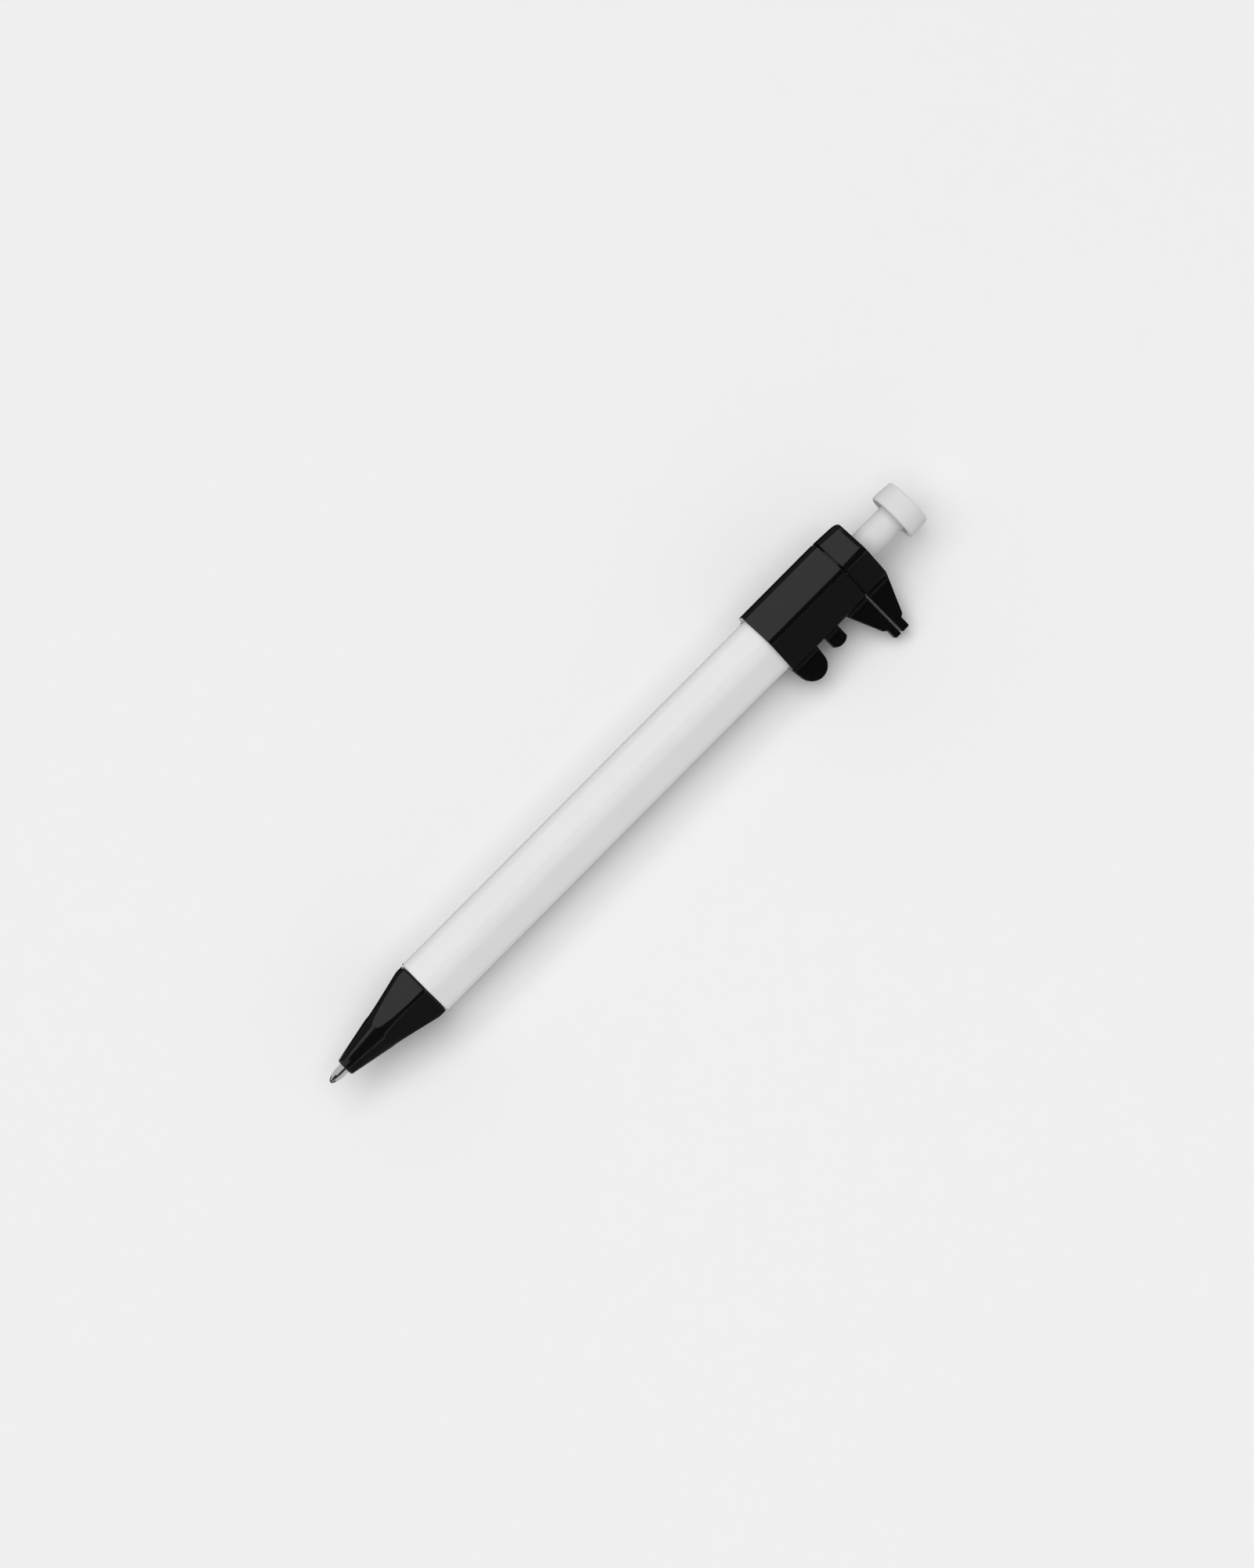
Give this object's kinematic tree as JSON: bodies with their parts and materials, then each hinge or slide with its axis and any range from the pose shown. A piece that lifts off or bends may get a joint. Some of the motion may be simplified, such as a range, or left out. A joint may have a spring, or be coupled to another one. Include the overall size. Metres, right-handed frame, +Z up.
{
  "type": "ruler pen",
  "caption": "Click ballpoint pen with a hexagonal barrel that doubles as a sliding caliper: a jaw sleeve runs along the barrel towards the nose, against a fixed jaw on the end cap.",
  "frame": {"origin": "below the middle of the pen, on the surface that it lies on", "axes": "+X along the pen from the writing tip to the push button, +Z up; the jaws point to -Y and lean down on the surface"},
  "size_m": [0.15, 0.023, 0.0143],
  "materials": {
    "white_abs": "moulded, semi-gloss white",
    "black_abs": "moulded, gloss black",
    "button_white": "moulded, satin white",
    "acetal": "moulded, natural",
    "polypropylene": "extruded, translucent white",
    "ink": "black ballpoint ink",
    "grease": "follower grease",
    "nickel_silver": "turned bright metal",
    "carbide": "polished carbide ball",
    "spring_steel": "drawn spring wire",
    "print_ink": "pad printed scale"
  },
  "bodies": {
    "housing": {"barrel": "white_abs", "nose_cone": "black_abs", "end_cap": "black_abs", "cam_guide": "acetal", "return_spring": "spring_steel"},
    "slider": {"slider": "black_abs"},
    "plunger": {"plunger_rod": "button_white", "push_button": "button_white"},
    "refill": {"ink_tube": "polypropylene", "ink_column": "ink", "ink_follower": "grease", "tip_holder": "polypropylene", "writing_tip": "nickel_silver"},
    "cam": {"cam_rotor": "acetal"},
    "ball": {"tip_ball": "carbide"}
  },
  "joints": [
    {"name": "slider_slide", "type": "slide", "parent": "housing", "child": "slider", "axis": [-1, 0, 0], "range_m": [0, 0.086]},
    {"name": "plunger_slide", "type": "slide", "parent": "housing", "child": "plunger", "axis": [1, 0, 0], "range_m": [-0.0012, 0.0055]},
    {"name": "refill_slide", "type": "slide", "parent": "housing", "child": "refill", "axis": [1, 0, 0], "range_m": [-0.0012, 0.0055], "deforming": ["return_spring"]},
    {"name": "cam_turn", "type": "hinge", "parent": "refill", "child": "cam", "pos_m": [0.03033, 0.00403, 0.00713], "axis": [1, 0, 0], "continuous": true},
    {"name": "ball_roll", "type": "hinge", "parent": "refill", "child": "ball", "pos_m": [-0.07447, 0.00403, 0.00713], "axis": [0, 1, 0], "continuous": true}
  ],
  "couplings": [
    {"joint": "refill_slide", "follows": "plunger_slide", "ratio": 1}
  ]
}
